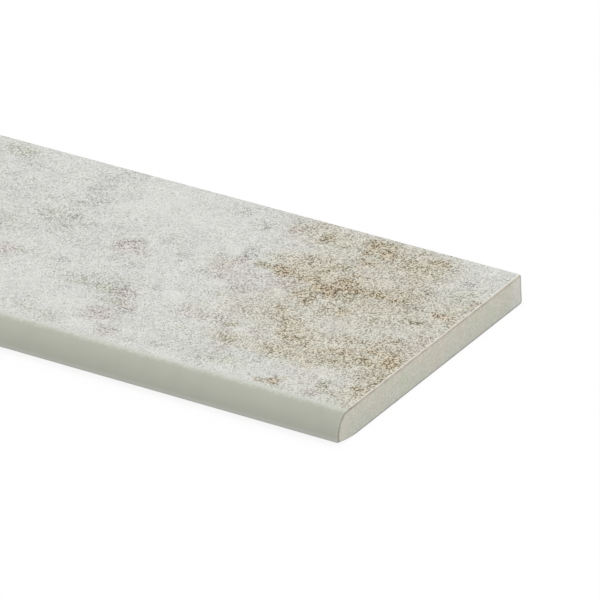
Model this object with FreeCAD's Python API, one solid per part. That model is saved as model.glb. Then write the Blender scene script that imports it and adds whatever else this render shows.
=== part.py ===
import FreeCAD, Part
import math
import os

# Bullnose tile, a narrow glazed ceramic trim that finishes the open edge of a tiled
# wall, skirting or step. It is one pressed and fired piece, so it is one solid.
#
# Frame: millimetres, origin at the middle of the tile's outline on the plane of its back.
# +X runs along the tile, +Y from the rounded nose to the square joint edge,
# +Z from the back to the printed face.

# Overall sizes
LENGTH = 300.0
WIDTH = 75.0
THICKNESS = 7.5

# Nose: one main arc, softened where it runs into the face and at its lower lip
NOSE_DEPTH = 3.46          # how far behind the front the main arc meets the face
NOSE_HEIGHT = 2.06         # height of the nose's foremost line over the back
FACE_BLEND_RADIUS = 2.2
LIP_RADIUS = 0.6

# The back curves up under the nose, so that the lip stays clear of the wall
LIP_DROP = 0.8             # how far below the foremost line that curve meets the front
LIFT_RUN = 8.6             # how far behind the front it begins

# Small pressed arrises
BACK_TOP_ARRIS = 0.8
BACK_BOTTOM_ARRIS = 0.7
END_ARRIS = 0.45

# Keyed back: shallow drafted pockets between ribs, which hold the adhesive
POCKET_SIZE = 15.4
POCKET_DEPTH = 0.7
POCKET_DRAFT = 0.45        # how much each side of a pocket leans in over its depth
POCKET_CORNER = 1.6
RIB_WIDTH = 2.8
BORDER = 5.0               # plain band kept flat along the ends, the joint edge and the nose

FRONT = -WIDTH / 2.0
BACK = WIDTH / 2.0
TOUCHING = 1e-6            # a length below this counts as none


class Circle:
    """A circle in the section's plane, which holds the tile inside it."""

    def __init__(self, y, z, radius):
        self.y = y
        self.z = z
        self.radius = radius

    def point(self, angle):
        """The point at that angle, in radians from +Y towards +Z."""
        return (
            self.y + self.radius * math.cos(angle),
            self.z + self.radius * math.sin(angle),
        )

    def angle_to(self, other):
        """The direction from this circle's centre to the other's."""
        return math.atan2(other.z - self.z, other.y - self.y)


def section_vector(point):
    """A section point (y, z) as a vector on the tile's left end plane."""
    return FreeCAD.Vector(-LENGTH / 2.0, point[0], point[1])


def line(start, end):
    return Part.LineSegment(section_vector(start), section_vector(end)).toShape()


def arc(circle, start, end):
    """The circle's arc from one angle to the other, the short way round."""
    turn = (end - start + math.pi) % (2.0 * math.pi) - math.pi
    return Part.Arc(
        section_vector(circle.point(start)),
        section_vector(circle.point(start + turn / 2.0)),
        section_vector(circle.point(start + turn)),
    ).toShape()


def rounding_between(first, second, radius):
    """The small circle that rounds the foremost corner of two circles from inside."""
    reach_first = first.radius - radius
    reach_second = second.radius - radius
    gap = math.hypot(second.y - first.y, second.z - first.z)
    along = (reach_first ** 2 - reach_second ** 2 + gap ** 2) / (2.0 * gap)
    across = math.sqrt(reach_first ** 2 - along ** 2)
    ahead = first.angle_to(second)
    centres = []
    for side in (1.0, -1.0):
        y = first.y + along * math.cos(ahead) - side * across * math.sin(ahead)
        z = first.z + along * math.sin(ahead) + side * across * math.cos(ahead)
        centres.append((y, z))
    y, z = min(centres)
    return Circle(y, z, radius)


def nose_circle():
    """The nose's main arc. Its foremost point is on the front, and it meets the face at a slight break."""
    rise = THICKNESS - NOSE_HEIGHT
    radius = (NOSE_DEPTH ** 2 + rise ** 2) / (2.0 * NOSE_DEPTH)
    return Circle(FRONT + radius, NOSE_HEIGHT, radius)


def face_blend_circle(nose):
    """The arc that is tangent to the printed face and to the nose."""
    z = THICKNESS - FACE_BLEND_RADIUS
    reach = nose.radius - FACE_BLEND_RADIUS
    y = nose.y - math.sqrt(reach ** 2 - (z - nose.z) ** 2)
    return Circle(y, z, FACE_BLEND_RADIUS)


def lift_circle():
    """The curve of the back under the nose, tangent to the flat of the back."""
    lift = NOSE_HEIGHT - LIP_DROP
    radius = (LIFT_RUN ** 2 + lift ** 2) / (2.0 * lift)
    return Circle(FRONT + LIFT_RUN, radius, radius)


def section():
    """The tile's outline across its length, as a face: nose at the front, square at the back."""
    nose = nose_circle()
    blend = face_blend_circle(nose)
    lift = lift_circle()
    lip = rounding_between(nose, lift, LIP_RADIUS)
    top_arris = Circle(BACK - BACK_TOP_ARRIS, THICKNESS - BACK_TOP_ARRIS, BACK_TOP_ARRIS)
    bottom_arris = Circle(BACK - BACK_BOTTOM_ARRIS, BACK_BOTTOM_ARRIS, BACK_BOTTOM_ARRIS)
    up = math.pi / 2.0
    down = -math.pi / 2.0
    foremost = math.pi
    onto_blend = nose.angle_to(blend)
    onto_lip = nose.angle_to(lip)
    under_lip = lift.angle_to(lip)
    edges = [
        line(top_arris.point(up), blend.point(up)),
        arc(blend, up, onto_blend),
        arc(nose, onto_blend, foremost),
        arc(nose, foremost, onto_lip),
        arc(lip, onto_lip, under_lip),
        arc(lift, under_lip, down),
        line(lift.point(down), bottom_arris.point(down)),
        arc(bottom_arris, down, 0.0),
        line(bottom_arris.point(0.0), top_arris.point(0.0)),
        arc(top_arris, 0.0, up),
    ]
    return Part.Face(Part.Wire(edges))


def blank():
    """The tile before its back is keyed: the section drawn out, with both ends' edges eased."""
    bar = section().extrude(FreeCAD.Vector(LENGTH, 0, 0))
    end_edges = [edge for edge in bar.Edges if edge.BoundBox.XLength < TOUCHING]
    return bar.makeFillet(END_ARRIS, end_edges)


def pocket():
    """One pocket of the keyed back, as the solid that is cut away. Its mouth is on the back's plane."""
    mouth = POCKET_SIZE / 2.0
    roof = mouth - POCKET_DRAFT
    block = Part.makeWedge(-mouth, 0, -mouth, -roof, -roof, mouth, POCKET_DEPTH, mouth, roof, roof)
    block.rotate(FreeCAD.Vector(0, 0, 0), FreeCAD.Vector(1, 0, 0), 90)
    corners = [edge for edge in block.Edges if edge.BoundBox.ZLength > TOUCHING]
    return block.makeFillet(POCKET_CORNER, corners)


def spread(low, high):
    """The middles of the pockets that fit between two limits, ribs between them, centred there."""
    pitch = POCKET_SIZE + RIB_WIDTH
    count = int((high - low + RIB_WIDTH) / pitch)
    first = (low + high) / 2.0 - (count - 1) * pitch / 2.0
    return [first + index * pitch for index in range(count)]


def back_key():
    """Every pocket of the back, in rows along the tile."""
    columns = spread(-LENGTH / 2.0 + BORDER, LENGTH / 2.0 - BORDER)
    rows = spread(FRONT + LIFT_RUN + BORDER, BACK - BORDER)
    one = pocket()
    pockets = []
    for x in columns:
        for y in rows:
            pockets.append(one.translated(FreeCAD.Vector(x, y, 0)))
    return Part.makeCompound(pockets)


def bullnose_tile():
    return blank().cut(back_key())


os.makedirs("parts", exist_ok=True)
tile = bullnose_tile()
tile.exportStep("parts/bullnose_tile.step")
print("solids", len(tile.Solids), "valid", tile.isValid())
print("nose radius", round(nose_circle().radius, 3), "mm")
print("volume", round(tile.Volume / 1000.0, 2), "cm3")
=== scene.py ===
# %% [markdown]
# # A bullnose tile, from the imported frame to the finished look
#
# A bullnose tile is a narrow ceramic trim. One long edge is rounded over, so that it can
# finish the open side of a tiled wall, a skirting or a step. This one is 300 mm long, 75 mm
# wide and 7.5 mm thick. Its face carries a stone-look print, its nose a plain coat, and its
# ends, its joint edge and its back are bare fired clay.
#
# The CAD part arrives first, as a frame that must not move. It could be shown as it is, but
# its arcs are coarse facets, and the glaze and the bare clay need faces of their own. So a
# finer mesh is made from the same sizes, and stands for it. Everything is in metres, in the
# CAD part's frame: +X along the tile, +Y from the nose to the joint edge, +Z up.

# %% Load the frame
import math
import bmesh
import bpy
from mathutils import Matrix, Vector


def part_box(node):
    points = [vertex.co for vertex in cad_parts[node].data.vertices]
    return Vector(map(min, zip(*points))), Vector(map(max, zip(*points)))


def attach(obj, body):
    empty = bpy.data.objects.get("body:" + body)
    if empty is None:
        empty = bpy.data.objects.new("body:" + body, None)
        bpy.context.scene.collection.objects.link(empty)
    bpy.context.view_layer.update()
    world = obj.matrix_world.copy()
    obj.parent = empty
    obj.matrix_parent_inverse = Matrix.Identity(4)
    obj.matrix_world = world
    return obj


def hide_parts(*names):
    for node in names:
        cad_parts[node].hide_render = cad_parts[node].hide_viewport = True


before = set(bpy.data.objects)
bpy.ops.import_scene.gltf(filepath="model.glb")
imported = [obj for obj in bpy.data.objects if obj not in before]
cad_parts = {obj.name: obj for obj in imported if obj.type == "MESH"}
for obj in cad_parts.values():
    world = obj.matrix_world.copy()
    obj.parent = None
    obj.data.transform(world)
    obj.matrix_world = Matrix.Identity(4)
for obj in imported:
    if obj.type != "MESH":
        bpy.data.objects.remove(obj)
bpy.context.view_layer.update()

MM = 0.001
low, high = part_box("bullnose_tile")
print("CAD nodes:", len(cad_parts))
print("CAD box in mm:", [round(value / MM, 3) for value in high - low])

# %% [markdown]
# ## The section
#
# Cut across, the tile is a flat bar with one shaped long edge. The nose is one large arc that
# meets the face at a slight angle, because it is ground on after pressing and then coated.
# Small arcs soften that meeting and the lip below, and a long shallow arc lifts the back
# clear of the wall under the nose.
#
# A plain box with a bevelled edge can't give this shape: a bevel's arc always runs smoothly
# into both of its faces. So the outline is drawn the way a drawing office would do it, with
# a compass. Each arc needs a centre and a radius, and the centres follow from the sizes.

# %% Sizes and circles of the section
LEFT = low.x
RIGHT = high.x
FRONT = low.y
BACK = high.y
TOP = high.z
BOTTOM = low.z

NOSE_DEPTH = 3.46 * MM
NOSE_HEIGHT = 2.06 * MM
FACE_BLEND_RADIUS = 2.2 * MM
LIP_RADIUS = 0.6 * MM
LIP_DROP = 0.8 * MM
LIFT_RUN = 8.6 * MM


class Circle:
    """A circle in the section's plane. Angles run from +Y towards +Z."""

    def __init__(self, y, z, radius):
        self.y = y
        self.z = z
        self.radius = radius

    def angle_to(self, other):
        return math.atan2(other.z - self.z, other.y - self.y) % math.tau


def nose_circle():
    """Its foremost point is on the front, and it meets the face at a slight break."""
    rise = TOP - NOSE_HEIGHT
    radius = (NOSE_DEPTH ** 2 + rise ** 2) / (2.0 * NOSE_DEPTH)
    return Circle(FRONT + radius, NOSE_HEIGHT, radius)


def face_blend_circle(nose):
    """Touches the face from below and the nose from inside."""
    z = TOP - FACE_BLEND_RADIUS
    reach = nose.radius - FACE_BLEND_RADIUS
    return Circle(nose.y - math.sqrt(reach ** 2 - (z - nose.z) ** 2), z, FACE_BLEND_RADIUS)


def lift_circle():
    """Touches the flat of the back where the lift begins."""
    lift = NOSE_HEIGHT - LIP_DROP
    radius = (LIFT_RUN ** 2 + lift ** 2) / (2.0 * lift)
    return Circle(FRONT + LIFT_RUN, BOTTOM + radius, radius)


def lip_circle(nose, lift):
    """Touches the nose and the lift from inside, at their foremost crossing."""
    nose_reach = nose.radius - LIP_RADIUS
    lift_reach = lift.radius - LIP_RADIUS
    gap = math.hypot(lift.y - nose.y, lift.z - nose.z)
    along = (nose_reach ** 2 - lift_reach ** 2 + gap ** 2) / (2.0 * gap)
    across = math.sqrt(nose_reach ** 2 - along ** 2)
    turn = nose.angle_to(lift)
    y = nose.y + along * math.cos(turn) - across * math.sin(turn)
    z = nose.z + along * math.sin(turn) + across * math.cos(turn)
    return Circle(y, z, LIP_RADIUS)


nose = nose_circle()
blend = face_blend_circle(nose)
lift = lift_circle()
lip = lip_circle(nose, lift)
print("nose radius in mm:", round(nose.radius / MM, 2))

# %% [markdown]
# ## Drawing the outline
#
# bmesh has a compass of its own: spinning a single vertex about a centre leaves a chain of
# edges behind it, which is an arc. Extruding a vertex and placing the copy leaves a straight
# edge. The "pen" below is simply the newest vertex, handed on from one stroke to the next,
# so the whole outline is ten strokes and no list of points. Wide arcs get a finer step than
# small ones, so that their facets come out about alike.

# %% The pen and its two kinds of stroke
WIDE_ARC_STEP = math.radians(1.5)
BLEND_STEP = math.radians(4.0)
SMALL_ARC_STEP = math.radians(8.0)

tile_mesh = bmesh.new()


def vertices_in(geometry):
    return [item for item in geometry if isinstance(item, bmesh.types.BMVert)]


def swing(pen, circle, start, end, step):
    """Swing the pen about a circle's centre from one angle to the other."""
    turn = (end - start) % math.tau
    swept = bmesh.ops.spin(
        tile_mesh,
        geom=[pen],
        cent=(LEFT, circle.y, circle.z),
        axis=(1.0, 0.0, 0.0),
        angle=turn,
        steps=math.ceil(turn / step),
    )
    return vertices_in(swept["geom_last"])[0]


def rule(pen, y, z):
    """Rule a straight line from the pen to a point."""
    drawn = bmesh.ops.extrude_vert_indiv(tile_mesh, verts=[pen])
    end = drawn["verts"][0]
    bmesh.ops.translate(tile_mesh, verts=[end], vec=Vector((LEFT, y, z)) - end.co)
    return end


# %% Ten strokes round the section
TOP_ARRIS = 0.8 * MM
BOTTOM_ARRIS = 0.7 * MM
WELD_WITHIN = 0.001 * MM
UP = math.radians(90.0)
FOREMOST = math.radians(180.0)
DOWN = math.radians(270.0)
BACKWARD = math.radians(360.0)

bottom_arris = Circle(BACK - BOTTOM_ARRIS, BOTTOM + BOTTOM_ARRIS, BOTTOM_ARRIS)
top_arris = Circle(BACK - TOP_ARRIS, TOP - TOP_ARRIS, TOP_ARRIS)

pen = tile_mesh.verts.new((LEFT, blend.y, TOP))
pen = swing(pen, blend, UP, nose.angle_to(blend), BLEND_STEP)
pen = swing(pen, nose, nose.angle_to(blend), FOREMOST, WIDE_ARC_STEP)
pen = swing(pen, nose, FOREMOST, nose.angle_to(lip), WIDE_ARC_STEP)
pen = swing(pen, lip, nose.angle_to(lip), lift.angle_to(lip), SMALL_ARC_STEP)
pen = swing(pen, lift, lift.angle_to(lip), DOWN, WIDE_ARC_STEP)
pen = rule(pen, bottom_arris.y, BOTTOM)
pen = swing(pen, bottom_arris, DOWN, BACKWARD, SMALL_ARC_STEP)
pen = rule(pen, BACK, top_arris.z)
pen = swing(pen, top_arris, 0.0, UP, SMALL_ARC_STEP)
pen = rule(pen, blend.y, TOP)

bmesh.ops.remove_doubles(tile_mesh, verts=tile_mesh.verts, dist=WELD_WITHIN)
print("points round the section:", len(tile_mesh.verts))

# %% [markdown]
# ## From outline to bar
#
# The closed outline becomes a face, and the face is drawn out along the tile like clay from
# a die. A press leaves a small rounded arris round each end, so the two end loops are then
# bevelled. A row of sections, joined one to the next, would give the same shape with far more
# to work out. The bevel's offset is its radius, because the ends are square.

# %% Draw the section out and ease its ends
END_ARRIS = 0.45 * MM
SAME_PLACE = 0.0001 * MM


def round_edges(edges, offset, segments):
    """Round edges over, from that far back on each side. At a square edge it is the radius."""
    bmesh.ops.bevel(
        tile_mesh,
        geom=edges,
        offset=offset,
        offset_type="OFFSET",
        segments=segments,
        profile=0.5,
        affect="EDGES",
        material=-1,
    )


bmesh.ops.edgeloop_fill(tile_mesh, edges=tile_mesh.edges)
drawn = bmesh.ops.extrude_face_region(tile_mesh, geom=tile_mesh.faces[:])
far_end = vertices_in(drawn["geom"])
bmesh.ops.translate(tile_mesh, verts=far_end, vec=(RIGHT - LEFT, 0.0, 0.0))
bmesh.ops.recalc_face_normals(tile_mesh, faces=tile_mesh.faces)

end_edges = [
    edge for edge in tile_mesh.edges
    if abs(edge.verts[0].co.x - edge.verts[1].co.x) < SAME_PLACE
]
round_edges(end_edges, END_ARRIS, segments=4)
print("edges eased at the ends:", len(end_edges))

# %% [markdown]
# ## The keyed back
#
# The back of a pressed tile is a grid of shallow pockets between ribs, so that the adhesive
# has something to hold. A bump in the material could hint at it, but the back is seen at the
# tile's edge and goes with the mesh, so the pockets are cut. The flat of the back is split
# into cells by planes through the middle of each rib. Each cell is inset by half a rib, and
# the faces inside are pushed into the clay and drawn in a little, because a press can only
# let go of a shape that tapers.

# %% Cut the back into cells
POCKET_SIZE = 15.4 * MM
RIB_WIDTH = 2.8 * MM
BORDER = 5.0 * MM
PITCH = POCKET_SIZE + RIB_WIDTH
SQUARE_ON = 0.999    # how much of its normal a face has along an axis that it is square to


def cell_lines(start, end):
    """Where the ribs' middle lines are, for as many whole pockets as fit between two limits."""
    count = int((end - start + RIB_WIDTH) / PITCH)
    first = (start + end - count * PITCH) / 2.0
    return [first + index * PITCH for index in range(count + 1)]


def split_along(geometry, point, normal):
    """Split a flat piece of the mesh by a plane, and give all that it is made of then."""
    split = bmesh.ops.bisect_plane(
        tile_mesh, geom=geometry, dist=SAME_PLACE, plane_co=point, plane_no=normal
    )
    return split["geom"]


def in_grid(point):
    """Whether a point lies within the grid of pockets, seen from below."""
    return columns[0] < point.x < columns[-1] and rows[0] < point.y < rows[-1]


columns = cell_lines(LEFT + BORDER, RIGHT - BORDER)
rows = cell_lines(FRONT + LIFT_RUN + BORDER, BACK - BORDER)
downward = [face for face in tile_mesh.faces if face.normal.z < -SQUARE_ON]
flat_back = max(downward, key=lambda face: face.calc_area())
cells = [flat_back, *flat_back.edges, *flat_back.verts]
for x in columns:
    cells = split_along(cells, (x, 0.0, 0.0), (1.0, 0.0, 0.0))
for y in rows:
    cells = split_along(cells, (0.0, y, 0.0), (0.0, 1.0, 0.0))

cell_faces = [item for item in cells if isinstance(item, bmesh.types.BMFace)]
mouths = [face for face in cell_faces if in_grid(face.calc_center_median())]
print("pockets:", len(mouths))

# %% Press the pockets in
POCKET_DEPTH = 0.7 * MM
POCKET_DRAFT = 0.45 * MM
TAPER = (POCKET_SIZE - 2.0 * POCKET_DRAFT) / POCKET_SIZE

bmesh.ops.inset_individual(
    tile_mesh, faces=mouths, thickness=RIB_WIDTH / 2.0, use_even_offset=True
)
roofs = bmesh.ops.extrude_discrete_faces(tile_mesh, faces=mouths)["faces"]
for roof in roofs:
    about_middle = Matrix.Translation(-roof.calc_center_median())
    bmesh.ops.scale(tile_mesh, verts=roof.verts, vec=(TAPER, TAPER, 1.0), space=about_middle)
    bmesh.ops.translate(tile_mesh, verts=roof.verts, vec=(0.0, 0.0, POCKET_DEPTH))
print("mouth and roof in mm:", round(POCKET_SIZE / MM, 2), round(POCKET_SIZE * TAPER / MM, 2))

# %% Round the pockets' corners and rims
POCKET_CORNER = 1.6 * MM
RIM_OFFSET = 0.18 * MM


def is_rim(edge):
    """Whether an edge goes round a pocket's mouth or its roof, where flat meets slope."""
    start = edge.verts[0].co
    end = edge.verts[1].co
    level = abs(start.z - end.z) < SAME_PLACE
    on_pocket = start.z < BOTTOM + POCKET_DEPTH + SAME_PLACE and in_grid(start)
    flats = [face for face in edge.link_faces if abs(face.normal.z) > SQUARE_ON]
    return level and on_pocket and len(edge.link_faces) == 2 and len(flats) == 1


roof_edges = {edge for roof in roofs for edge in roof.edges}
uprights = []
for roof in roofs:
    for corner in roof.verts:
        uprights.extend(edge for edge in corner.link_edges if edge not in roof_edges)
round_edges(uprights, POCKET_CORNER, segments=4)

tile_mesh.normal_update()
rims = [edge for edge in tile_mesh.edges if is_rim(edge)]
round_edges(rims, RIM_OFFSET, segments=2)
print("corners rounded:", len(uprights), "rim edges softened:", len(rims))

# %% [markdown]
# ## A mesh becomes a piece
#
# Two finishes meet on one fired piece, so each face is given the number of its finish. The
# finished bmesh then goes into an object that sits at the origin. Flat areas and fine arcs
# meet here, and plain smooth shading would bend the light on the flats. The Weighted Normal
# modifier lets the large faces decide, so flats stay flat and arcs stay round.

# %% Give each face its finish
GLAZE = 0
BODY = 1
NOSE_REACH = LIFT_RUN / 2.0
SKIN = 2.0 * END_ARRIS


def is_glazed(face):
    """Whether a face is on the printed side or in the nose's skin, and not on a flat end."""
    middle = face.calc_center_median()
    on_top = middle.z > TOP - TOP_ARRIS
    at_nose = middle.y < FRONT + NOSE_REACH and middle.z > lip.z - LIP_RADIUS
    in_skin = math.hypot(middle.y - nose.y, middle.z - nose.z) > nose.radius - SKIN
    on_end = abs(face.normal.x) > SQUARE_ON
    return (on_top or (at_nose and in_skin)) and not on_end


tile_mesh.normal_update()
for face in tile_mesh.faces:
    face.smooth = True
    face.material_index = GLAZE if is_glazed(face) else BODY
glazed_area = sum(face.calc_area() for face in tile_mesh.faces if face.material_index == GLAZE)
print("glazed area in cm2:", round(glazed_area / (10.0 * MM) ** 2, 1))

# %% Make the tile object
open_edges = [edge for edge in tile_mesh.edges if len(edge.link_faces) != 2]
print("volume in cm3:", round(tile_mesh.calc_volume() / (10.0 * MM) ** 3, 2))
print("open edges:", len(open_edges), "faces:", len(tile_mesh.faces))

tile_data = bpy.data.meshes.new("tile")
tile_mesh.to_mesh(tile_data)
tile_mesh.free()

tile = bpy.data.objects.new("tile", tile_data)
bpy.context.scene.collection.objects.link(tile)
keep_flats = tile.modifiers.new("keep_flats", "WEIGHTED_NORMAL")
keep_flats.mode = "FACE_AREA"
keep_flats.weight = 100
keep_flats.keep_sharp = True

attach(tile, "root")
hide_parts("bullnose_tile")

# %% [markdown]
# ## Materials
#
# Two finishes cover the tile: the glaze, which is a print on the face and a plain coat on the
# nose, and the bare body. Both are built from nodes that read the place on the tile, in mm.
# So they show on every side and in every view, and a size in them is a size on the tile. A
# node needs three or four lines in Python, and these finishes need over a thousand nodes, so
# the helpers below make each one, with its settings and links, in one call.

# %% Helpers for node trees
def linear(red, green, blue):
    """A colour as a screen shows it, 0 to 255, as the linear one that Blender's nodes use."""
    def channel(value):
        value /= 255.0
        return value / 12.92 if value <= 0.04045 else ((value + 0.055) / 1.055) ** 2.4
    return (channel(red), channel(green), channel(blue), 1.0)


def add_node(tree, kind, inputs=None, **settings):
    """Add a node, set its options, and fill or link its inputs by name or number."""
    made = tree.nodes.new(kind)
    for name, value in settings.items():
        setattr(made, name, value)
    for name, value in (inputs or {}).items():
        if isinstance(value, bpy.types.NodeSocket):
            tree.links.new(value, made.inputs[name])
        else:
            made.inputs[name].default_value = value
    return made


def new_material(name):
    """A material with a shader joined to its output, and its node tree."""
    material = bpy.data.materials.new(name)
    material.use_nodes = True
    tree = material.node_tree
    tree.nodes.clear()
    shader = add_node(tree, "ShaderNodeBsdfPrincipled")
    add_node(tree, "ShaderNodeOutputMaterial", {"Surface": shader.outputs[0]})
    return material, tree, shader


def place_in_mm(tree):
    """The point on the tile in millimetres, in the tile's own frame."""
    where = add_node(tree, "ShaderNodeTexCoord").outputs["Object"]
    mapping = add_node(tree, "ShaderNodeMapping", {"Vector": where, "Scale": (1.0 / MM,) * 3})
    return mapping.outputs[0]


def split_place(tree, place):
    """The place's distances along the tile, across it and up from its back."""
    outputs = add_node(tree, "ShaderNodeSeparateXYZ", {0: place}).outputs
    return outputs["X"], outputs["Y"], outputs["Z"]


# %% Helpers for sums
def compute(tree, operation, *values):
    """One step of arithmetic."""
    inputs = dict(enumerate(values))
    return add_node(tree, "ShaderNodeMath", inputs, operation=operation).outputs[0]


def multiply_add(tree, first, second, third):
    """The first times the second, plus the third."""
    return compute(tree, "MULTIPLY_ADD", first, second, third)


def clamped(tree, value):
    """The value, held between 0 and 1."""
    return add_node(tree, "ShaderNodeClamp", {"Value": value}).outputs[0]


def vector_math(tree, operation, first, second):
    inputs = {0: first, 1: second}
    return add_node(tree, "ShaderNodeVectorMath", inputs, operation=operation).outputs[0]


def scaled(tree, vector, factor):
    """A vector or colour times a number."""
    inputs = {0: vector, "Scale": factor}
    return add_node(tree, "ShaderNodeVectorMath", inputs, operation="SCALE").outputs[0]


def remap(tree, value, start, end, new_start=0.0, new_end=1.0):
    """Map a range to another in a straight line, and hold the value at its two ends."""
    inputs = {
        "Value": value, "From Min": start, "From Max": end, "To Min": new_start, "To Max": new_end
    }
    return add_node(tree, "ShaderNodeMapRange", inputs).outputs["Result"]


def fade(tree, value, start, end, top=1.0):
    """A soft step from 0 at the start to the top at the end. It stays inside without a clamp."""
    inputs = {"Value": value, "From Min": start, "From Max": end, "To Max": top}
    settings = {"interpolation_type": "SMOOTHSTEP", "clamp": False}
    return add_node(tree, "ShaderNodeMapRange", inputs, **settings).outputs["Result"]


# %% Helpers for noise and colour
def noise(tree, place, size, detail=2.0, roughness=0.5, seed=0.0, output="Fac"):
    """Cloudy noise, about 0.5, with features of about that size in mm.

    The seed is a distance in mm along a fourth axis. Two clouds of one size are only unlike
    each other if their seeds are further apart than that size.
    """
    inputs = {
        "Vector": place, "W": seed, "Scale": 1.0 / size, "Detail": detail, "Roughness": roughness
    }
    made = add_node(tree, "ShaderNodeTexNoise", inputs, noise_dimensions="4D")
    return made.outputs[output]


def sway(tree, value, wave, reach):
    """Push a value up and down by noise, by half the reach at the most each way."""
    return multiply_add(tree, compute(tree, "SUBTRACT", wave, 0.5), reach, value)


def vary(tree, wave, least, most, span=0.4):
    """A number from the least to the most. The noise passes from one to the other in that span."""
    return remap(tree, wave, 0.5 - span / 2.0, 0.5 + span / 2.0, least, most)


def mix_colours(tree, factor, first, second, style="MIX"):
    inputs = {0: factor, 6: first, 7: second}
    made = add_node(tree, "ShaderNodeMix", inputs, data_type="RGBA", blend_type=style)
    return made.outputs[2]


def tinted(tree, colour, share, tint):
    """A colour times a tint, in the places and to the share given."""
    return mix_colours(tree, share, colour, tint, "MULTIPLY")


# %% [markdown]
# ## The stone-look print: where the stains lie
#
# The face is printed to look like old pale stone: a light ground with broad warm drifts, stains
# in ochre, rose and olive, thin grey drifts and a few lighter patches. A noise texture alone
# can give such a mix, but never with the stains where this tile has them. Painting an image
# could, but an image can't be changed by a number. So each stain is an ellipse, listed as its
# middle, half length, half width and strength, and a turn where it has one. Noise bends its
# edge later. The tables cover the half of the tile with the strongest stains.

# %% The stains, in mm and degrees, in the tile's frame
WARM_DRIFTS = [
    (100.0, 33.0, 9.0, 6.0, 0.5),
    (121.0, 30.0, 16.0, 8.0, 0.7),
    (134.0, 27.0, 6.0, 8.0, 0.3),
    (146.0, 26.0, 4.0, 5.0, 0.2),
    (106.0, 18.0, 9.0, 6.0, 0.8),
    (122.0, 14.0, 14.0, 6.0, 0.7),
    (128.0, 20.0, 10.0, 6.0, 0.28),
    (141.0, 14.0, 9.0, 6.0, 0.55),
    (130.0, 4.0, 15.0, 6.5, 0.7),
    (122.0, 3.0, 3.5, 3.0, 0.35),
    (109.0, 6.0, 5.0, 5.0, 0.35),
    (88.0, 9.0, 4.0, 3.5, 0.3),
    (104.5, -2.5, 8.0, 6.0, 0.34),
    (117.0, -7.0, 10.0, 7.0, 0.65, -30.0),
    (137.0, -12.0, 14.0, 9.0, 0.78),
    (148.0, -4.0, 5.0, 28.0, 0.4),
    (114.0, -18.5, 11.0, 3.0, 0.6),
    (125.0, -19.5, 7.0, 4.0, 0.45),
    (101.0, -11.0, 9.0, 5.0, 0.28),
    (137.0, -28.0, 12.0, 6.0, 0.22),
    (147.0, -24.0, 4.0, 7.0, 0.4),
]
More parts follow.
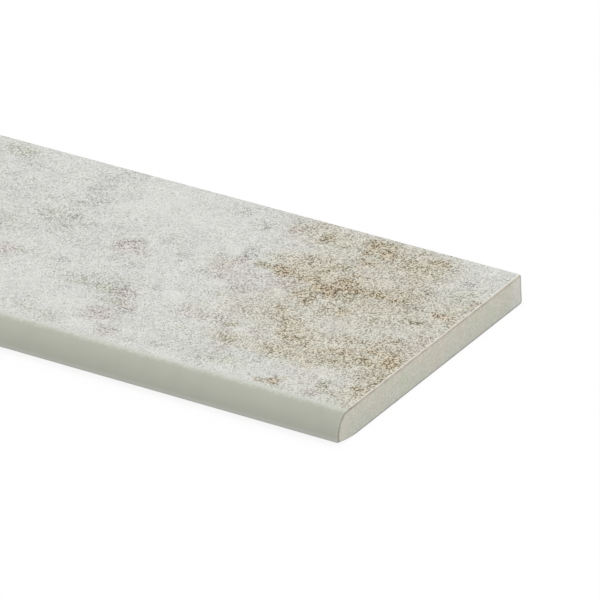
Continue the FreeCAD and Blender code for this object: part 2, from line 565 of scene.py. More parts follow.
OCHRE_STAINS = [
    (116.2, 10.2, 3.4, 1.9, 0.9),
    (118.0, 12.8, 2.2, 3.4, 0.38),
    (116.0, 14.6, 2.0, 1.8, 0.3),
    (118.2, 16.0, 1.8, 1.3, 0.7),
    (118.8, 19.2, 1.8, 1.2, 0.45),
    (112.2, 12.4, 2.9, 1.6, 0.5, -40.0),
    (118.4, 7.8, 1.8, 1.6, 0.55),
    (121.6, 13.2, 2.6, 1.8, 0.95),
    (113.4, 6.6, 3.0, 2.0, 0.5),
    (126.8, 13.4, 2.2, 1.5, 0.6),
    (115.3, 3.6, 1.6, 2.6, 0.6),
    (109.2, 11.4, 1.7, 1.8, 0.35),
    (102.2, 13.0, 3.2, 1.8, 0.75),
    (97.2, 13.0, 2.0, 1.4, 0.45),
    (107.4, 12.8, 2.2, 1.6, 0.35),
    (104.6, 17.2, 2.6, 1.3, 0.15),
    (103.8, 11.0, 2.2, 1.4, 0.55),
    (111.4, 17.5, 1.2, 3.4, 0.35),
    (114.0, 33.4, 2.0, 2.6, 0.6),
    (118.0, 33.0, 3.0, 2.4, 0.5),
    (119.6, 30.2, 2.1, 1.8, 0.7),
    (115.0, 29.4, 1.2, 2.2, 0.6),
    (117.4, 25.2, 3.0, 1.3, 0.5),
    (117.4, 22.6, 1.6, 2.0, 0.4),
    (125.8, 34.8, 4.0, 1.6, 0.2),
    (132.0, 32.6, 2.6, 1.6, 0.65),
    (127.4, 29.0, 3.4, 2.2, 0.35),
    (123.6, 30.6, 2.4, 2.6, 0.12),
    (103.0, 30.6, 1.7, 2.2, 0.5),
    (131.8, 17.4, 2.4, 1.8, 0.2),
    (129.2, 24.0, 2.4, 1.6, 0.05),
    (134.0, 14.0, 1.5, 1.4, 0.45),
    (130.5, 13.2, 3.4, 0.9, 0.55, -5.0),
    (145.2, 11.9, 2.8, 1.2, 0.5),
    (148.9, 19.8, 1.3, 2.0, 0.55),
    (125.3, 3.2, 1.4, 2.1, 0.5),
    (112.4, -2.0, 2.6, 1.4, 0.45, -20.0),
    (118.2, -6.0, 2.6, 1.8, 0.45),
    (114.6, -5.8, 2.4, 1.2, 0.25, -25.0),
    (121.6, -8.6, 1.6, 1.0, 0.45),
    (118.6, -10.6, 1.8, 1.6, 0.4),
    (121.4, -12.2, 2.6, 1.3, 0.6),
    (121.8, -14.6, 3.4, 1.1, 0.3),
    (125.4, -13.2, 1.4, 1.2, 0.35),
    (120.6, -18.0, 2.6, 1.1, 0.3),
    (129.8, -14.6, 1.8, 1.4, 0.35),
    (133.0, -6.4, 3.4, 1.5, 0.4),
    (140.0, -5.4, 3.6, 2.0, 0.35),
    (140.8, -9.2, 2.8, 1.1, 0.55),
    (134.6, -12.4, 3.4, 2.0, 0.46),
    (111.4, 4.2, 1.8, 2.4, 0.35),
    (141.4, -13.2, 3.0, 1.4, 0.6, -15.0),
    (136.4, -16.4, 4.0, 1.8, 0.22, 10.0),
    (147.0, -11.8, 2.2, 2.2, 0.9),
    (145.6, -8.8, 1.8, 1.4, 0.5),
    (118.2, -8.6, 1.4, 1.2, 0.3),
    (106.6, -13.8, 1.6, 1.3, 0.35),
    (120.6, 16.4, 1.4, 1.2, 0.3),
    (113.6, 20.6, 1.8, 1.3, 0.35),
    (149.2, 9.8, 1.0, 1.4, 0.4),
    (129.8, -28.4, 1.6, 1.0, 0.35),
    (142.0, -28.6, 2.2, 1.2, 0.3),
    (141.8, -2.2, 2.4, 1.4, 0.5),
    (149.2, -19.5, 1.4, 4.5, 0.25),
    (131.4, -20.4, 2.0, 1.4, 0.35),
    (109.4, -19.2, 2.0, 1.5, 0.15),
    (128.8, -30.6, 1.9, 1.2, 0.8),
    (125.6, -31.4, 1.6, 0.9, 0.5),
    (146.6, -24.4, 1.1, 1.0, 0.7),
    (148.6, -26.5, 1.3, 3.0, 0.3),
    (149.0, -32.0, 1.2, 1.6, 0.5),
]
ROSE_STAINS = [
    (93.6, 7.6, 5.4, 4.6, 0.6),
    (89.5, 10.5, 3.0, 2.0, 0.25),
    (90.5, 4.0, 2.4, 1.6, 0.4),
    (92.4, 13.0, 2.4, 2.0, 0.7),
    (96.8, 0.8, 4.2, 2.0, 0.45),
    (98.0, 4.6, 2.2, 1.8, 0.4),
    (100.6, 8.6, 2.2, 2.2, 0.6),
    (103.4, 3.4, 4.4, 4.0, 0.45),
    (106.0, 8.0, 2.8, 2.2, 0.6),
    (95.2, 31.2, 2.4, 2.4, 0.8),
    (99.8, 35.2, 3.0, 1.6, 0.6),
    (98.5, 26.0, 4.5, 2.0, 0.5),
    (119.4, 24.6, 2.0, 1.2, 0.35),
    (106.4, 20.4, 4.0, 2.6, 0.5),
    (78.5, -13.0, 3.2, 3.0, 0.9, -20.0),
    (78.5, -23.0, 4.2, 3.6, 0.9),
    (81.8, -17.6, 2.6, 1.8, 0.8, -20.0),
    (84.0, -29.0, 2.4, 2.6, 0.8),
    (66.0, 6.0, 3.6, 3.4, 1.0),
    (70.5, 4.4, 2.0, 2.0, 0.4),
    (42.4, -8.0, 2.8, 2.8, 0.9),
    (95.4, -13.2, 2.8, 3.0, 0.45),
    (101.6, -12.4, 3.6, 2.4, 0.45),
    (104.0, -5.0, 4.0, 4.0, 0.4),
    (102.2, 14.0, 2.6, 1.3, 0.7),
    (109.0, 10.8, 1.8, 1.8, 0.7),
    (113.2, 14.4, 1.6, 1.2, 0.3),
    (116.4, 13.6, 1.8, 2.4, 0.4),
    (109.0, 7.4, 2.2, 1.4, 0.5),
    (131.0, 20.0, 7.0, 5.0, 0.22),
    (119.8, 20.4, 2.6, 2.4, 0.4),
    (134.0, -24.6, 3.6, 3.0, 0.3),
    (146.6, -3.0, 3.0, 5.0, 0.6),
    (148.4, 0.5, 1.4, 2.6, 0.75),
    (142.6, -8.6, 3.4, 1.2, 0.7),
    (145.2, 11.8, 2.8, 1.2, 0.9),
    (141.6, 6.4, 1.6, 1.2, 0.4),
    (148.9, 20.0, 1.2, 1.8, 0.3),
    (144.2, 31.4, 1.8, 1.8, 0.35),
    (137.4, 24.0, 3.0, 4.0, 0.25),
    (113.4, -13.8, 2.2, 2.2, 0.7),
    (110.0, -22.6, 3.2, 2.2, 0.6),
    (125.6, -13.2, 1.6, 1.4, 0.5),
    (130.6, -8.8, 1.8, 1.6, 0.35),
    (107.0, -17.6, 1.8, 2.0, 0.55),
    (139.0, -31.0, 2.4, 1.8, 0.5),
    (148.6, 16.6, 1.3, 1.5, 0.35),
    (102.2, 28.4, 2.4, 1.5, 0.45),
    (120.9, 28.2, 1.6, 1.2, 0.5),
    (136.2, -11.0, 1.4, 2.0, 0.6),
    (126.8, -1.2, 3.0, 1.6, 0.3),
    (129.4, -29.2, 1.8, 0.9, 0.8),
]
OLIVE_STAINS = [
    (44.0, 10.5, 6.0, 3.6, 0.5),
    (46.6, -7.2, 2.2, 1.5, 0.45),
    (73.0, -8.5, 6.0, 2.4, 0.35),
    (65.5, -12.6, 5.0, 2.0, 0.5),
    (73.4, -13.0, 3.4, 2.2, 0.6),
    (77.5, -17.2, 3.4, 1.5, 0.6),
    (70.0, -30.0, 5.0, 2.4, 0.45),
    (97.0, -20.5, 4.5, 2.0, 0.35),
    (129.6, -32.2, 2.6, 1.3, 0.5),
    (134.0, 27.6, 1.8, 2.4, 0.4),
    (93.5, 23.0, 2.4, 2.4, 0.3),
    (117.4, 35.2, 2.8, 1.4, 0.4),
    (116.0, -27.5, 8.0, 2.6, 0.3),
    (35.0, 3.0, 4.0, 5.0, 0.4),
    (17.5, 33.0, 4.4, 3.0, 0.55),
    (62.0, -28.5, 3.5, 2.0, 0.5),
    (114.4, 21.4, 2.0, 1.5, 1.0),
    (122.4, 9.2, 2.4, 1.9, 0.9),
    (97.0, 13.4, 1.8, 1.4, 0.9),
    (98.6, 17.5, 1.6, 2.4, 0.5),
    (104.2, 16.6, 2.2, 1.4, 0.15),
    (113.6, 8.6, 2.0, 1.8, 0.5),
    (115.2, 4.0, 1.4, 2.4, 0.5),
    (125.6, 13.0, 2.8, 1.6, 0.7),
    (141.4, 6.8, 3.2, 1.4, 1.0),
    (136.8, 19.4, 1.8, 1.8, 0.7),
    (133.4, 21.6, 2.4, 1.6, 0.4),
    (143.2, 22.0, 3.8, 2.8, 0.65),
    (132.8, 2.8, 2.4, 1.7, 0.55),
    (141.0, -13.0, 2.6, 1.6, 0.4, -20.0),
    (137.0, -16.6, 4.0, 2.0, 0.55, 10.0),
    (149.0, -18.5, 1.6, 4.0, 0.5),
    (127.6, 29.5, 5.0, 3.6, 0.12),
    (117.8, 28.6, 1.6, 2.0, 0.4),
    (107.5, 28.0, 3.4, 6.0, 0.35),
    (103.0, 30.8, 1.8, 2.4, 0.5),
    (139.5, -26.8, 1.4, 2.4, 1.0),
    (107.0, -27.0, 16.0, 4.0, 0.25),
    (107.0, -13.2, 1.8, 1.6, 0.6),
    (109.4, -19.0, 2.0, 1.6, 0.6),
    (98.6, 32.0, 2.6, 3.5, 0.35),
    (144.6, -30.6, 3.2, 2.4, 0.3),
    (96.0, -3.0, 3.0, 1.6, 0.4),
]
GREY_DRIFTS = [
    (45.0, 25.0, 3.5, 14.0, 0.4),
    (92.2, 17.0, 1.8, 2.4, 0.8),
    (28.0, 18.0, 6.0, 6.0, 0.25),
    (137.6, 12.3, 4.0, 1.1, 0.9),
    (134.2, 14.2, 1.4, 1.2, 0.7),
    (136.8, 19.4, 1.6, 1.6, 0.3),
    (141.6, 6.4, 1.4, 1.0, 0.5),
    (114.4, 21.4, 1.4, 1.1, 0.5),
    (24.5, 28.5, 3.2, 1.8, 0.5),
    (20.6, 31.6, 2.0, 2.4, 0.4),
    (21.0, 22.0, 2.6, 2.6, 0.3),
    (38.6, 17.4, 2.8, 1.7, 0.35),
    (38.2, 11.2, 2.2, 1.7, 0.4),
    (49.2, 20.8, 1.9, 2.4, 0.6),
    (53.2, 26.6, 2.4, 3.4, 0.4),
    (48.0, 34.8, 3.4, 1.6, 0.3),
    (47.8, 12.0, 1.6, 1.4, 0.4),
    (48.6, 6.2, 2.0, 1.9, 0.6),
    (43.6, 3.6, 4.0, 1.7, 0.4),
    (53.0, 2.2, 3.4, 1.4, 0.4),
    (58.6, 2.6, 1.7, 1.5, 0.4),
    (54.2, 10.0, 3.6, 1.7, 0.5),
    (59.0, 12.6, 3.4, 1.6, 0.4),
    (56.6, -6.2, 2.2, 1.3, 0.5),
    (67.0, 8.8, 2.2, 1.2, 0.8),
    (63.6, 6.4, 1.4, 1.6, 0.4),
    (66.4, 0.2, 1.9, 1.7, 0.6),
    (73.0, 13.0, 2.3, 2.3, 0.55),
    (71.8, -1.2, 3.0, 1.3, 0.5),
    (78.8, 8.0, 2.6, 2.0, 0.4),
    (86.2, 13.8, 2.2, 1.8, 0.5),
    (86.6, 3.6, 2.8, 2.0, 0.45),
    (80.0, 32.0, 2.2, 1.8, 0.5),
    (87.8, 29.0, 2.4, 3.0, 0.55),
    (82.8, -7.4, 2.4, 1.5, 0.5),
    (82.8, -19.4, 1.9, 1.2, 0.6),
    (76.6, -23.2, 1.6, 1.1, 0.5),
    (92.9, 15.0, 1.4, 1.8, 0.4),
    (121.4, 3.0, 2.6, 2.4, 0.4),
    (126.4, 22.2, 1.7, 1.5, 0.15),
    (121.2, -21.4, 2.6, 1.6, 0.2),
    (147.6, 6.4, 2.0, 1.3, 0.4),
    (149.0, 32.8, 1.3, 2.0, 0.4),
    (74.0, -12.0, 10.0, 3.0, 0.3, -10.0),
    (120.5, -23.5, 2.5, 1.6, 0.4),
    (97.6, -28.8, 2.4, 1.4, 0.4),
    (93.0, 34.5, 2.0, 2.0, 0.5),
    (139.4, -27.0, 1.3, 2.2, 0.6),
    (146.6, -24.4, 1.1, 1.0, 0.8),
    (136.4, 31.0, 1.4, 1.6, 0.5),
    (142.6, 27.0, 2.2, 2.4, 0.7),
    (98.4, 0.6, 1.6, 1.6, 0.4),
    (102.6, -12.2, 1.8, 1.6, 0.5),
    (88.4, -5.0, 2.0, 1.4, 0.3),
    (144.4, -19.8, 2.0, 1.8, 0.4),
]
LIGHT_PATCHES = [
    (87.4, -8.2, 2.6, 2.4, 1.0, 10.0),
    (60.0, 27.0, 9.0, 8.0, 0.4),
    (77.0, 24.0, 6.0, 5.0, 0.3),
    (76.0, -29.5, 4.0, 2.0, 0.6),
    (119.0, -28.5, 6.0, 3.0, 0.4),
    (54.0, -19.0, 5.0, 5.0, 0.3),
    (94.0, 1.5, 2.2, 1.2, 0.9),
    (127.2, -1.4, 2.6, 1.6, 0.6),
    (107.6, 23.4, 2.0, 1.6, 0.4),
    (93.0, -26.6, 3.4, 1.8, 0.4),
    (81.0, 12.6, 1.8, 1.8, 0.5),
    (107.2, 3.6, 1.8, 1.6, 1.0),
    (126.2, 18.4, 1.8, 1.8, 0.6),
    (97.0, 25.8, 3.0, 1.2, 0.6),
    (68.0, -22.0, 4.0, 4.0, 0.3),
    (101.0, -31.5, 3.0, 1.6, 0.6),
    (143.4, -11.0, 1.2, 1.0, 0.7),
    (109.8, -14.6, 1.4, 1.2, 0.6),
    (140.8, 24.0, 2.6, 1.2, 0.4),
    (87.5, 16.0, 2.6, 2.0, 0.5),
    (113.4, 14.2, 1.2, 0.9, 0.6),
    (135.0, -21.5, 3.0, 1.8, 0.5),
]

# %% A mask from a table of stains
STAIN_REACH = 1.6    # an ellipse fades to nothing at this many times its half sizes
STAIN_CORE = 0.8     # how far up that slope a stain comes to its full strength
TALL = 100.0         # half height in mm, so that a stain is there at any height


def stain_mask(tree, place, stains):
    """0 on clear ground, and the strength of the stains that lie under the place."""
    total = 0.0
    for x, y, half_length, half_width, strength, *turned in stains:
        turn = turned[0] if turned else 0.0
        ellipse = {
            "Vector": place,
            "Location": (x, y, TOP / MM),
            "Rotation": (0.0, 0.0, math.radians(turn)),
            "Scale": (half_length * STAIN_REACH, half_width * STAIN_REACH, TALL),
        }
        spot = add_node(tree, "ShaderNodeMapping", ellipse, vector_type="TEXTURE").outputs[0]
        slope = add_node(tree, "ShaderNodeTexGradient", {0: spot}, gradient_type="SPHERICAL")
        level = fade(tree, slope.outputs["Fac"], 0.0, STAIN_CORE)
        total = multiply_add(tree, level, strength, total)
    return total


# %% [markdown]
# ## The print's layers
#
# Seen close, a stain isn't a wash of colour. Light and dark grains lie side by side everywhere,
# and inside a stain the light ones stay almost as light, while the dark ones go far darker. So
# two colours are carried through the layers, one for each kind of grain, and every stain tints
# the dark one much more.
#
# Past the tables, noise clouds stand for the stains. Clouds alone would spot the whole ground
# evenly, so a second and much larger noise gathers the warm, ochre and olive ones in a few
# regions, and leaves the ground between them clear.

# %% The layers and their colours
LIGHT_GRAIN = linear(224, 225, 220)
DARK_GRAIN = linear(164, 165, 159)

# For each layer: its stains, how much it crowds the dark grains, the tints of light and dark
# grains, the size in mm and the threshold of its clouds, and whether they gather in regions
LAYERS = (
    (WARM_DRIFTS, 0.04, (0.985, 0.935, 0.83, 1.0), (0.485, 0.40, 0.26, 1.0), 16.0, 0.36, True),
    (OCHRE_STAINS, 0.10, (0.94, 0.84, 0.70, 1.0), (0.37, 0.245, 0.11, 1.0), 5.0, 0.46, True),
    (ROSE_STAINS, 0.04, (0.98, 0.93, 0.92, 1.0), (0.62, 0.52, 0.50, 1.0), 7.0, 0.50, False),
    (OLIVE_STAINS, 0.05, (0.94, 0.945, 0.87, 1.0), (0.50, 0.50, 0.375, 1.0), 5.0, 0.48, True),
    (GREY_DRIFTS, 0.05, (0.94, 0.94, 0.94, 1.0), (0.45, 0.45, 0.44, 1.0), 4.0, 0.54, False),
    (LIGHT_PATCHES, -0.06, (1.02, 1.02, 1.02, 1.0), (1.35, 1.35, 1.35, 1.0), 7.0, 0.52, False),
)
print("stains placed by hand:", sum(len(layer[0]) for layer in LAYERS))

# %% Clouds past the tables
PLACED_FROM = 20.0       # places along the tile, between which clouds take over from the tables
CLOUDS_FROM = -10.0
REGION_SIZE = 60.0
REGION_STARTS = 0.44
REGION_FULL = 0.62
CLOUD_SOFTNESS = 0.25
CLOUD_STRENGTH = 0.8
CLOUD_SEED = 20.0        # each layer's is 1 mm further on, so clouds of one size partly overlap


def cloud_zones(tree, place, along):
    """How strongly clouds show at a place: those that may lie anywhere, and the gathered ones."""
    anywhere = remap(tree, along, PLACED_FROM, CLOUDS_FROM)
    region = noise(tree, place, REGION_SIZE, detail=6.0, roughness=0.6)
    region = fade(tree, region, REGION_STARTS, REGION_FULL)
    return anywhere, compute(tree, "MULTIPLY", region, anywhere)


def cloud_mask(tree, place, size, threshold, seed):
    """0 between the clouds, and their strength inside them."""
    cloud = noise(tree, place, size, detail=3.0, roughness=0.6, seed=seed)
    return fade(tree, cloud, threshold, threshold + CLOUD_SOFTNESS, CLOUD_STRENGTH)


# %% Tint the two kinds of grain, layer by layer
BEND_SIZE = 2.6
BEND_REACH = 2.6


def bend(tree, place):
    """Push a place about by noise, so that round stains get wandering edges."""
    push = noise(tree, place, BEND_SIZE, detail=4.0, roughness=0.65, seed=1.0, output="Color")
    push = vector_math(tree, "SUBTRACT", push, (0.5, 0.5, 0.5))
    return vector_math(tree, "ADD", place, scaled(tree, push, BEND_REACH))


def tinted_grains(tree, place):
    """The colours of light and dark grains at a place, and how its stains crowd the dark ones."""
    bent = bend(tree, place)
    patchy = noise(tree, place, size=1.6, detail=3.0, roughness=0.6, seed=2.0)
    patchy = vary(tree, patchy, least=0.98, most=1.25, span=0.36)
    mottle = noise(tree, place, size=5.0, detail=5.0, roughness=0.7, seed=3.0)
    mottle = vary(tree, mottle, least=0.93, most=1.07)
    light_grain = scaled(tree, LIGHT_GRAIN[:3], mottle)
    dark_grain = scaled(tree, DARK_GRAIN[:3], mottle)
    anywhere, gathered = cloud_zones(tree, place, split_place(tree, bent)[0])

    crowding = 0.0
    for number, layer in enumerate(LAYERS):
        stains, crowds, light_tint, dark_tint, size, threshold, gathers = layer
        clouds = cloud_mask(tree, bent, size, threshold, CLOUD_SEED + number)
        zone = gathered if gathers else anywhere
        mask = multiply_add(tree, clouds, zone, stain_mask(tree, bent, stains))
        strength = clamped(tree, compute(tree, "MULTIPLY", mask, patchy))
        light_grain = tinted(tree, light_grain, strength, light_tint)
        dark_grain = tinted(tree, dark_grain, strength, dark_tint)
        crowding = multiply_add(tree, strength, crowds, crowding)
    return light_grain, dark_grain, crowding


# %% [markdown]
# ## The print's grain and flecks
#
# The print is laid down in droplets, so its grains are crisp. Noise alone makes soft ones, and
# a pattern of random cells alone looks like sand. Here a fine noise is pushed about by random
# cells, little on clear ground and more where stains crowd the dark grains, and the sum says
# how dark a grain is. The few cells whose random number is highest become dark flecks.

# %% Choose between light and dark grains
GRAIN_SIZE = 0.34
CELL_SIZE = 0.32
DRIFT_REACH = 0.5
GROUND_UNREST = 0.045    # the unrest of clear ground, to which a stain adds its crowding
SPECKLE = 10.5           # how far the cells push the noise, for an unrest of 1
LIGHT_UP_TO = 0.34
DARK_FROM = 0.96


def random_cells(tree, place):
    """Cells of CELL_SIZE, in mm, each with a random colour of its own."""
    inputs = {"Vector": place, "Scale": 1.0 / CELL_SIZE}
    return add_node(tree, "ShaderNodeTexVoronoi", inputs).outputs["Color"]


def darkness(tree, place, cells, crowding):
    """0 where a grain is light, and 1 where it is dark."""
    grain = noise(tree, place, GRAIN_SIZE, detail=0.0, seed=4.0)
    drift = noise(tree, place, size=1.6, detail=3.0, roughness=0.7, seed=5.0)
    grain = compute(tree, "ADD", sway(tree, grain, drift, DRIFT_REACH), crowding)
    unrest = compute(tree, "ADD", crowding, GROUND_UNREST)
    push = compute(tree, "MULTIPLY", compute(tree, "SUBTRACT", cells, 0.5), unrest)
    return remap(tree, multiply_add(tree, push, SPECKLE, grain), LIGHT_UP_TO, DARK_FROM)


# %% Add the flecks, and put the print together
FLECK_TINT = (0.48, 0.45, 0.40, 1.0)
CLUSTER_WEIGHT = 0.1
CROWD_WEIGHT = 0.25
FLECK_STARTS = 1.042
FLECK_FULL = 1.048


def fleck_mask(tree, place, cells, crowding):
    """1 in the few cells that are flecks. Clusters and stains hold more of them."""
    cluster = noise(tree, place, size=5.0, seed=7.0)
    chance = add_node(tree, "ShaderNodeSeparateXYZ", {0: cells}).outputs["X"]
    chance = multiply_add(tree, cluster, CLUSTER_WEIGHT, chance)
    chance = multiply_add(tree, crowding, CROWD_WEIGHT, chance)
    return remap(tree, chance, FLECK_STARTS, FLECK_FULL)


def printed_colour(tree, place):
    """The print's colour at a place in mm."""
    light_grain, dark_grain, crowding = tinted_grains(tree, place)
    cells = random_cells(tree, place)
    dark_share = darkness(tree, place, cells, crowding)
    colour = mix_colours(tree, dark_share, light_grain, dark_grain)
    return tinted(tree, colour, fleck_mask(tree, place, cells, crowding), FLECK_TINT)


# %% [markdown]
# ## The glaze: print on the face, coat on the nose
#
# The nose is coated after grinding, in one plain grey-green glaze. The print stops short of it
# with a soft, slightly ragged edge, and a pale rim of coat shows between the two. Round the
# lip the coat thins out, and its lighter colour there is partly painted light, bounced up from
# the floor. At the ends the print runs out a little before the arris, and the bare rim there
# gets a painted highlight for the light that it catches, with a thin darker line at its edge.
#
# Print and coat could be two materials on two groups of faces, but they would then meet along
# an edge of the mesh, in a straight line. One material that knows how far back it is lets them
# meet anywhere, and noise added to that distance makes the line ragged.

# %% The coat, and where the print begins
COAT = linear(178, 180, 167)
COAT_RIM = linear(203, 206, 194)
LIP_THIN_AND_LIT = linear(189, 190, 181)
PRINT_EDGE = FRONT / MM + 3.95
PRINT_STARTS = PRINT_EDGE - 0.3
PRINT_FULL = PRINT_EDGE + 1.5
RIM_STARTS = PRINT_EDGE - 1.4
RIM_FULL = PRINT_EDGE + 0.4
LIP_COATED = 2.7         # heights over the back, between which the coat thins out and gets painted floor light
LIP_THINNED = 1.9

glaze, tree, shader = new_material("glaze")
place = place_in_mm(tree)
along, across, upward = split_place(tree, place)
ragged = noise(tree, place, size=0.9, detail=4.0, roughness=0.65, seed=6.0)
setback = sway(tree, across, ragged, reach=3.0)

cloud = noise(tree, place, size=4.0, detail=3.0, seed=9.0)
coat = scaled(tree, COAT[:3], vary(tree, cloud, least=0.975, most=1.025))
coat = mix_colours(tree, fade(tree, setback, RIM_STARTS, RIM_FULL), coat, COAT_RIM)
# Partly painted light: round the lip the coat thins out, and its colour there is also lightened to
# stand for light bounced up from the floor.
lip_height = sway(tree, upward, ragged, reach=0.8)
coat = mix_colours(tree, fade(tree, lip_height, LIP_COATED, LIP_THINNED), coat, LIP_THIN_AND_LIT)
is_print = fade(tree, setback, PRINT_STARTS, PRINT_FULL)
colour = mix_colours(tree, is_print, coat, printed_colour(tree, place))
print("nodes in the print and the coat:", len(tree.nodes))

# %% The arris at both ends of the face, with its painted highlight
ARRIS_HIGHLIGHT = linear(226, 222, 212)
DARK_LINE_TINT = (0.56, 0.51, 0.46, 1.0)
END_X = RIGHT / MM
HIGHLIGHT_STARTS = END_X - 0.31
HIGHLIGHT_FULL = END_X - 0.25
LINE_ON_NOSE = END_X - 0.14
LINE_ON_FACE = END_X - 0.16
LINE_SOFTNESS = 0.06


def line_share(tree, place):
    """How much of the dark line shows: it comes and goes."""
    broken = noise(tree, place, size=2.5, detail=3.0, seed=14.0)
    return vary(tree, broken, least=0.55, most=1.0, span=0.3)


from_middle = compute(tree, "ABSOLUTE", along)
print_end = sway(tree, from_middle, ragged, reach=0.4)
# Painted highlight: a light band along the bare rim at the ends of the face, for the light that
# the arris catches.
highlight_share = remap(tree, setback, PRINT_EDGE + 1.0, PRINT_EDGE + 8.0)
is_highlight = compute(tree, "MULTIPLY", fade(tree, print_end, HIGHLIGHT_STARTS, HIGHLIGHT_FULL), highlight_share)
colour = mix_colours(tree, is_highlight, colour, ARRIS_HIGHLIGHT)
line_start = remap(tree, setback, PRINT_EDGE + 0.5, PRINT_EDGE + 2.5, LINE_ON_NOSE, LINE_ON_FACE)
is_line = fade(tree, compute(tree, "SUBTRACT", from_middle, line_start), 0.0, LINE_SOFTNESS)
is_line = compute(tree, "MULTIPLY", is_line, line_share(tree, place))
colour = tinted(tree, colour, is_line, DARK_LINE_TINT)
print("the arris shows in the last mm:", round(END_X - HIGHLIGHT_STARTS, 2))

# %% The glaze's roughness and relief
def finish(tree, shader, colour, roughness, relief, strength, depth):
    """Join a finish to its shader. The relief is as deep as depth, in metres."""
    height = {"Height": relief, "Strength": strength, "Distance": depth}
    bump = add_node(tree, "ShaderNodeBump", height)
    tree.links.new(colour, shader.inputs["Base Color"])
    tree.links.new(roughness, shader.inputs["Roughness"])
    tree.links.new(bump.outputs[0], shader.inputs["Normal"])


wear = noise(tree, place, size=1.2, detail=4.0, roughness=0.7, seed=15.0)
coat_roughness = vary(tree, wear, least=0.50, most=0.60)
print_roughness = vary(tree, wear, least=0.58, most=0.74)
choice = {0: is_print, 2: coat_roughness, 3: print_roughness}
roughness = add_node(tree, "ShaderNodeMix", choice, data_type="FLOAT").outputs[0]
relief = noise(tree, place, size=0.7, detail=3.0, roughness=0.6, seed=16.0)
relief = compute(tree, "MULTIPLY", relief, remap(tree, is_print, 0.0, 1.0, 0.3, 1.0))
finish(tree, shader, colour, roughness, relief, strength=0.35, depth=0.03 * MM)
print("nodes in the whole glaze:", len(tree.nodes))

# %% [markdown]
# ## The bare body
#
# The ends, the joint edge and the back show fired clay: sandy, fine-grained, with warm and
# greenish patches that flow into one another. Just below the face runs a thin darker line.
# Painted shade and light go on the clay as well: it is darker low down and lighter high up,
# paler towards the joint edge, and darker still along its lower edges.
#
# Warm and green come from the two sides of one noise, so that they never lie on each other.
# The line has to follow the face and then the nose's arc at one depth. A distance straight
# down would lose it on the nose, so the depth is measured from the section's own circle.

# %% The clay
BODY_COLOUR = linear(203, 201, 186)
BODY_WARM = (1.025, 0.985, 0.96, 1.0)
BODY_GREEN = (0.965, 1.0, 0.94, 1.0)
BODY_SHADED_LOW = (0.95, 0.98, 1.03, 1.0)
BODY_LIT_HIGH = (1.04, 1.035, 1.06, 1.0)

body, tree, shader = new_material("body")
place = place_in_mm(tree)
along, across, upward = split_place(tree, place)
patch = noise(tree, place, size=6.0, detail=4.0, roughness=0.65, seed=11.0)
colour = tinted(tree, BODY_COLOUR, fade(tree, patch, 0.5, 0.62), BODY_WARM)
colour = tinted(tree, colour, fade(tree, patch, 0.5, 0.38), BODY_GREEN)
# Painted shade and light: the clay is tinted darker low down and lighter high up, for the floor's
# shade on the lower part of the ends.
painted_light_by_height = mix_colours(tree, remap(tree, upward, 1.0, 6.0), BODY_SHADED_LOW, BODY_LIT_HIGH)
colour = tinted(tree, colour, 1.0, painted_light_by_height)
sand = noise(tree, place, size=0.45, detail=3.0, roughness=0.8, seed=12.0)
colour = scaled(tree, colour, sway(tree, 1.0, sand, reach=1.0))
print("nodes in the clay:", len(tree.nodes))

# %% The dark line under the glaze
LINE_ENDS = END_ARRIS / MM + 0.35        # depths under the skin, between which the line fades in
LINE_FULL = END_ARRIS / MM + 0.15
NOSE_ZONE = FRONT / MM + 6.0
PAST_NOSE = FRONT / MM + 11.0


def skin_depth(tree, across, upward):
    """How deep a point of an end lies under the face or the nose, in mm."""
    behind = compute(tree, "MINIMUM", compute(tree, "SUBTRACT", across, nose.y / MM), 0.0)
    above = compute(tree, "SUBTRACT", upward, nose.z / MM)
    above_squared = compute(tree, "MULTIPLY", above, above)
    reach = compute(tree, "SQRT", multiply_add(tree, behind, behind, above_squared))
    under_nose = compute(tree, "SUBTRACT", nose.radius / MM, reach)
    return compute(tree, "MINIMUM", under_nose, compute(tree, "SUBTRACT", TOP / MM, upward))


wander = noise(tree, place, size=3.0, detail=3.0, seed=13.0)
depth = sway(tree, skin_depth(tree, across, upward), wander, reach=0.2)
on_nose = remap(tree, across, PAST_NOSE, NOSE_ZONE, 0.5, 1.0)
shows = compute(tree, "MULTIPLY", line_share(tree, place), on_nose)
is_line = compute(tree, "MULTIPLY", fade(tree, depth, LINE_ENDS, LINE_FULL), shows)
colour = tinted(tree, colour, is_line, DARK_LINE_TINT)
print("the line's depth in mm:", round(LINE_FULL, 2))

# %% Painted light and shade on the clay, and its roughness and relief
BODY_LIT_PALE = (1.08, 1.09, 1.15, 1.0)
BODY_EDGE_SHADE = (0.48, 0.48, 0.54, 1.0)
JOINT_Y = BACK / MM
CORNER_SHADE = 0.6       # the joint edge's share of the lower edges' painted shade

# Painted light: the clay is made paler towards the joint edge.
lit_joint_end = fade(tree, across, JOINT_Y - 6.0, JOINT_Y - 2.0)
colour = tinted(tree, colour, lit_joint_end, BODY_LIT_PALE)
# Painted shade: the lower edges and the joint edge are darkened, for the shade along the tile's
# lower edges.
shaded_low_edge = fade(tree, upward, 0.7, 0.3)
shaded_joint_corner = fade(tree, across, JOINT_Y - 0.9, JOINT_Y - 0.5)
shaded_joint_corner = compute(tree, "MULTIPLY", shaded_joint_corner, CORNER_SHADE)
colour = tinted(tree, colour, compute(tree, "MAXIMUM", shaded_low_edge, shaded_joint_corner), BODY_EDGE_SHADE)

dryness = noise(tree, place, size=0.8, detail=4.0, roughness=0.7, seed=17.0)
roughness = vary(tree, dryness, least=0.75, most=0.92)
finish(tree, shader, colour, roughness, sand, strength=0.5, depth=0.05 * MM)

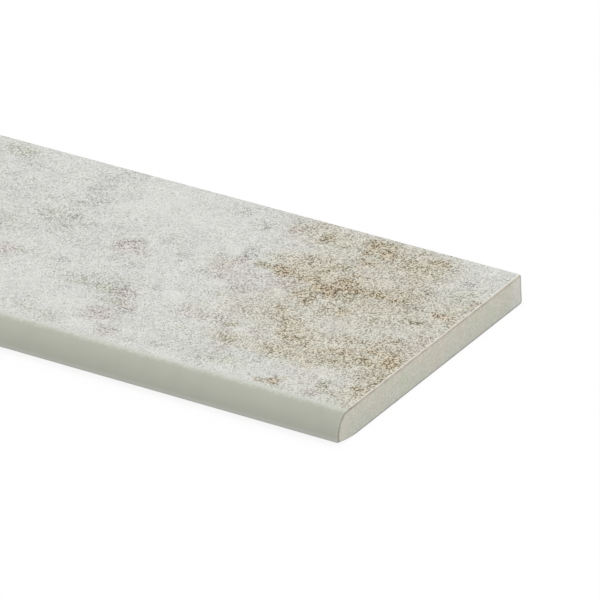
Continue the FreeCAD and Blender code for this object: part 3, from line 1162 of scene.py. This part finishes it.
tile_data.materials.append(glaze)
tile_data.materials.append(body)
print("finishes on the tile:", [material.name for material in tile_data.materials])

# %% [markdown]
# ## The floor
#
# The tile lies on a plain pale floor, which has to look white and still show the tile's
# shadow. A stronger lamp would whiten it, but would bleach the tile too. So the floor glows
# for whoever looks at it, nine parts in ten, and the tenth part is a lit surface, which takes
# the shadow. For the light that it throws back at the tile it stays a plain pale surface.
#
# The back's ribs lie in the floor's own plane, and two faces in one plane show through each
# other. So the floor has a window under the tile, and seen from below it is clear.

# %% Lay the floor, with a window under the tile
FLOOR_HALF = 12.0
WINDOW_X = RIGHT - 2.0 * MM
WINDOW_FRONT = FRONT + LIFT_RUN
WINDOW_BACK = BACK - 1.5 * MM


def in_window(point):
    return abs(point.x) < WINDOW_X and WINDOW_FRONT < point.y < WINDOW_BACK


window_sides = (
    ((-WINDOW_X, 0.0, 0.0), (1.0, 0.0, 0.0)),
    ((WINDOW_X, 0.0, 0.0), (1.0, 0.0, 0.0)),
    ((0.0, WINDOW_FRONT, 0.0), (0.0, 1.0, 0.0)),
    ((0.0, WINDOW_BACK, 0.0), (0.0, 1.0, 0.0)),
)
floor_mesh = bmesh.new()
bmesh.ops.create_grid(floor_mesh, x_segments=1, y_segments=1, size=FLOOR_HALF)
for point, normal in window_sides:
    everything = [*floor_mesh.faces, *floor_mesh.edges, *floor_mesh.verts]
    bmesh.ops.bisect_plane(floor_mesh, geom=everything, plane_co=point, plane_no=normal)
under_tile = [face for face in floor_mesh.faces if in_window(face.calc_center_median())]
bmesh.ops.delete(floor_mesh, geom=under_tile, context="FACES")
floor_data = bpy.data.meshes.new("floor")
floor_mesh.to_mesh(floor_data)
floor_mesh.free()
floor = bpy.data.objects.new("floor", floor_data)
bpy.context.scene.collection.objects.link(floor)
print("floor faces round the window:", len(floor_data.polygons))

# %% The floor's material
FLOOR_PALE = 0.8
SHADOW_SHARE = 0.1
WHITE = (1.0, 1.0, 1.0, 1.0)


def seen_directly(tree):
    """1 for a ray that looks, straight, by a reflection or through glass, and 0 for light."""
    path = add_node(tree, "ShaderNodeLightPath").outputs
    seen = compute(tree, "MAXIMUM", path["Is Camera Ray"], path["Is Glossy Ray"])
    return compute(tree, "MAXIMUM", seen, path["Is Transmission Ray"])


floor_material = bpy.data.materials.new("floor")
floor_material.use_nodes = True
tree = floor_material.node_tree
tree.nodes.clear()
seen = seen_directly(tree)
pale_level = remap(tree, seen, 0.0, 1.0, FLOOR_PALE, SHADOW_SHARE)
pale_colour = add_node(tree, "ShaderNodeCombineXYZ", {axis: pale_level for axis in range(3)})
pale = add_node(tree, "ShaderNodeBsdfDiffuse", {"Color": pale_colour.outputs[0]})
glow_level = compute(tree, "MULTIPLY", seen, 1.0 - SHADOW_SHARE)
glow = add_node(tree, "ShaderNodeEmission", {"Color": WHITE, "Strength": glow_level})
lit = add_node(tree, "ShaderNodeAddShader", {0: pale.outputs[0], 1: glow.outputs[0]})
clear = add_node(tree, "ShaderNodeBsdfTransparent")
from_below = add_node(tree, "ShaderNodeNewGeometry").outputs["Backfacing"]
sides = {0: from_below, 1: lit.outputs[0], 2: clear.outputs[0]}
both_sides = add_node(tree, "ShaderNodeMixShader", sides)
add_node(tree, "ShaderNodeOutputMaterial", {"Surface": both_sides.outputs[0]})
floor_data.materials.append(floor_material)
print("share of the floor that takes the shadow:", SHADOW_SHARE)

# %% [markdown]
# ## Sky and lamp
#
# A tile like this is pictured in a light tent: soft light from all round, and a little more
# from above. Area lamps could stand round it, but their light falls off along the tile. So an
# even sky lights all of it alike, and the lamp is a sun with a very wide disc, which throws a
# soft shadow. The sky also looks white, but lights the tile at a lower level of its own.
# Together they show a colour about as it is written.

# %% Hang the sky and the lamp
SKY = 0.6
LAMP = 0.42
LAMP_FROM = Vector((0.35, -0.1, 1.0))

world = bpy.data.worlds.new("studio")
bpy.context.scene.world = world
world.use_nodes = True
tree = world.node_tree
tree.nodes.clear()
lights = add_node(tree, "ShaderNodeBackground", {"Color": WHITE, "Strength": SKY})
looks = add_node(tree, "ShaderNodeBackground", {"Color": WHITE, "Strength": 1.0})
skies = {0: seen_directly(tree), 1: lights.outputs[0], 2: looks.outputs[0]}
sky = add_node(tree, "ShaderNodeMixShader", skies)
add_node(tree, "ShaderNodeOutputWorld", {"Surface": sky.outputs[0]})

lamp_data = bpy.data.lights.new("soft_lamp", "SUN")
lamp_data.energy = LAMP * math.pi
lamp_data.angle = math.radians(60.0)
lamp = bpy.data.objects.new("soft_lamp", lamp_data)
bpy.context.scene.collection.objects.link(lamp)
lamp.rotation_euler = LAMP_FROM.to_track_quat("Z", "Y").to_euler()
lamp.location = LAMP_FROM
print("light on a level surface, sky and lamp:", SKY, round(LAMP * LAMP_FROM.normalized().z, 2))

# %% [markdown]
# ## The camera
#
# The tile is seen from far off with a long lens, so that its long edges stay almost parallel.
# A camera can be placed by a matrix, but then no number in it says anything. Here its place
# follows from three angles, a distance and a lens, which were fitted to the outline in the
# photograph. It starts from the lower corner of the nose at the right end, which is the
# sharpest point of that outline.

# %% Place the camera
VIEW_YAW = math.radians(34.702)
VIEW_PITCH = math.radians(28.236)
VIEW_ROLL = math.radians(-2.758)
VIEW_DISTANCE = 1593.7 * MM
LENS = 446.07
SENSOR_WIDTH = 36.0
AIM_RIGHT = -8.105 * MM      # how far the picture's middle lies from that corner
AIM_UP = 31.908 * MM

backward = Vector((
    math.sin(VIEW_YAW) * math.cos(VIEW_PITCH),
    -math.cos(VIEW_YAW) * math.cos(VIEW_PITCH),
    math.sin(VIEW_PITCH),
))
level = Vector((math.cos(VIEW_YAW), math.sin(VIEW_YAW), 0.0))
roll = Matrix.Rotation(VIEW_ROLL, 3, backward)
picture_right = roll @ level
picture_up = roll @ backward.cross(level)

camera_data = bpy.data.cameras.new("camera")
camera_data.sensor_width = SENSOR_WIDTH
camera_data.lens = LENS
camera = bpy.data.objects.new("camera", camera_data)
bpy.context.scene.collection.objects.link(camera)
aim = Vector((RIGHT, FRONT, BOTTOM)) + picture_right * AIM_RIGHT + picture_up * AIM_UP
stand = aim + backward * VIEW_DISTANCE
facing = Matrix((picture_right, picture_up, backward)).transposed().to_4x4()
camera.matrix_world = Matrix.Translation(stand) @ facing
bpy.context.scene.camera = camera
bpy.context.scene.view_settings.view_transform = "Standard"
print("camera height over the floor in mm:", round(stand.z / MM))
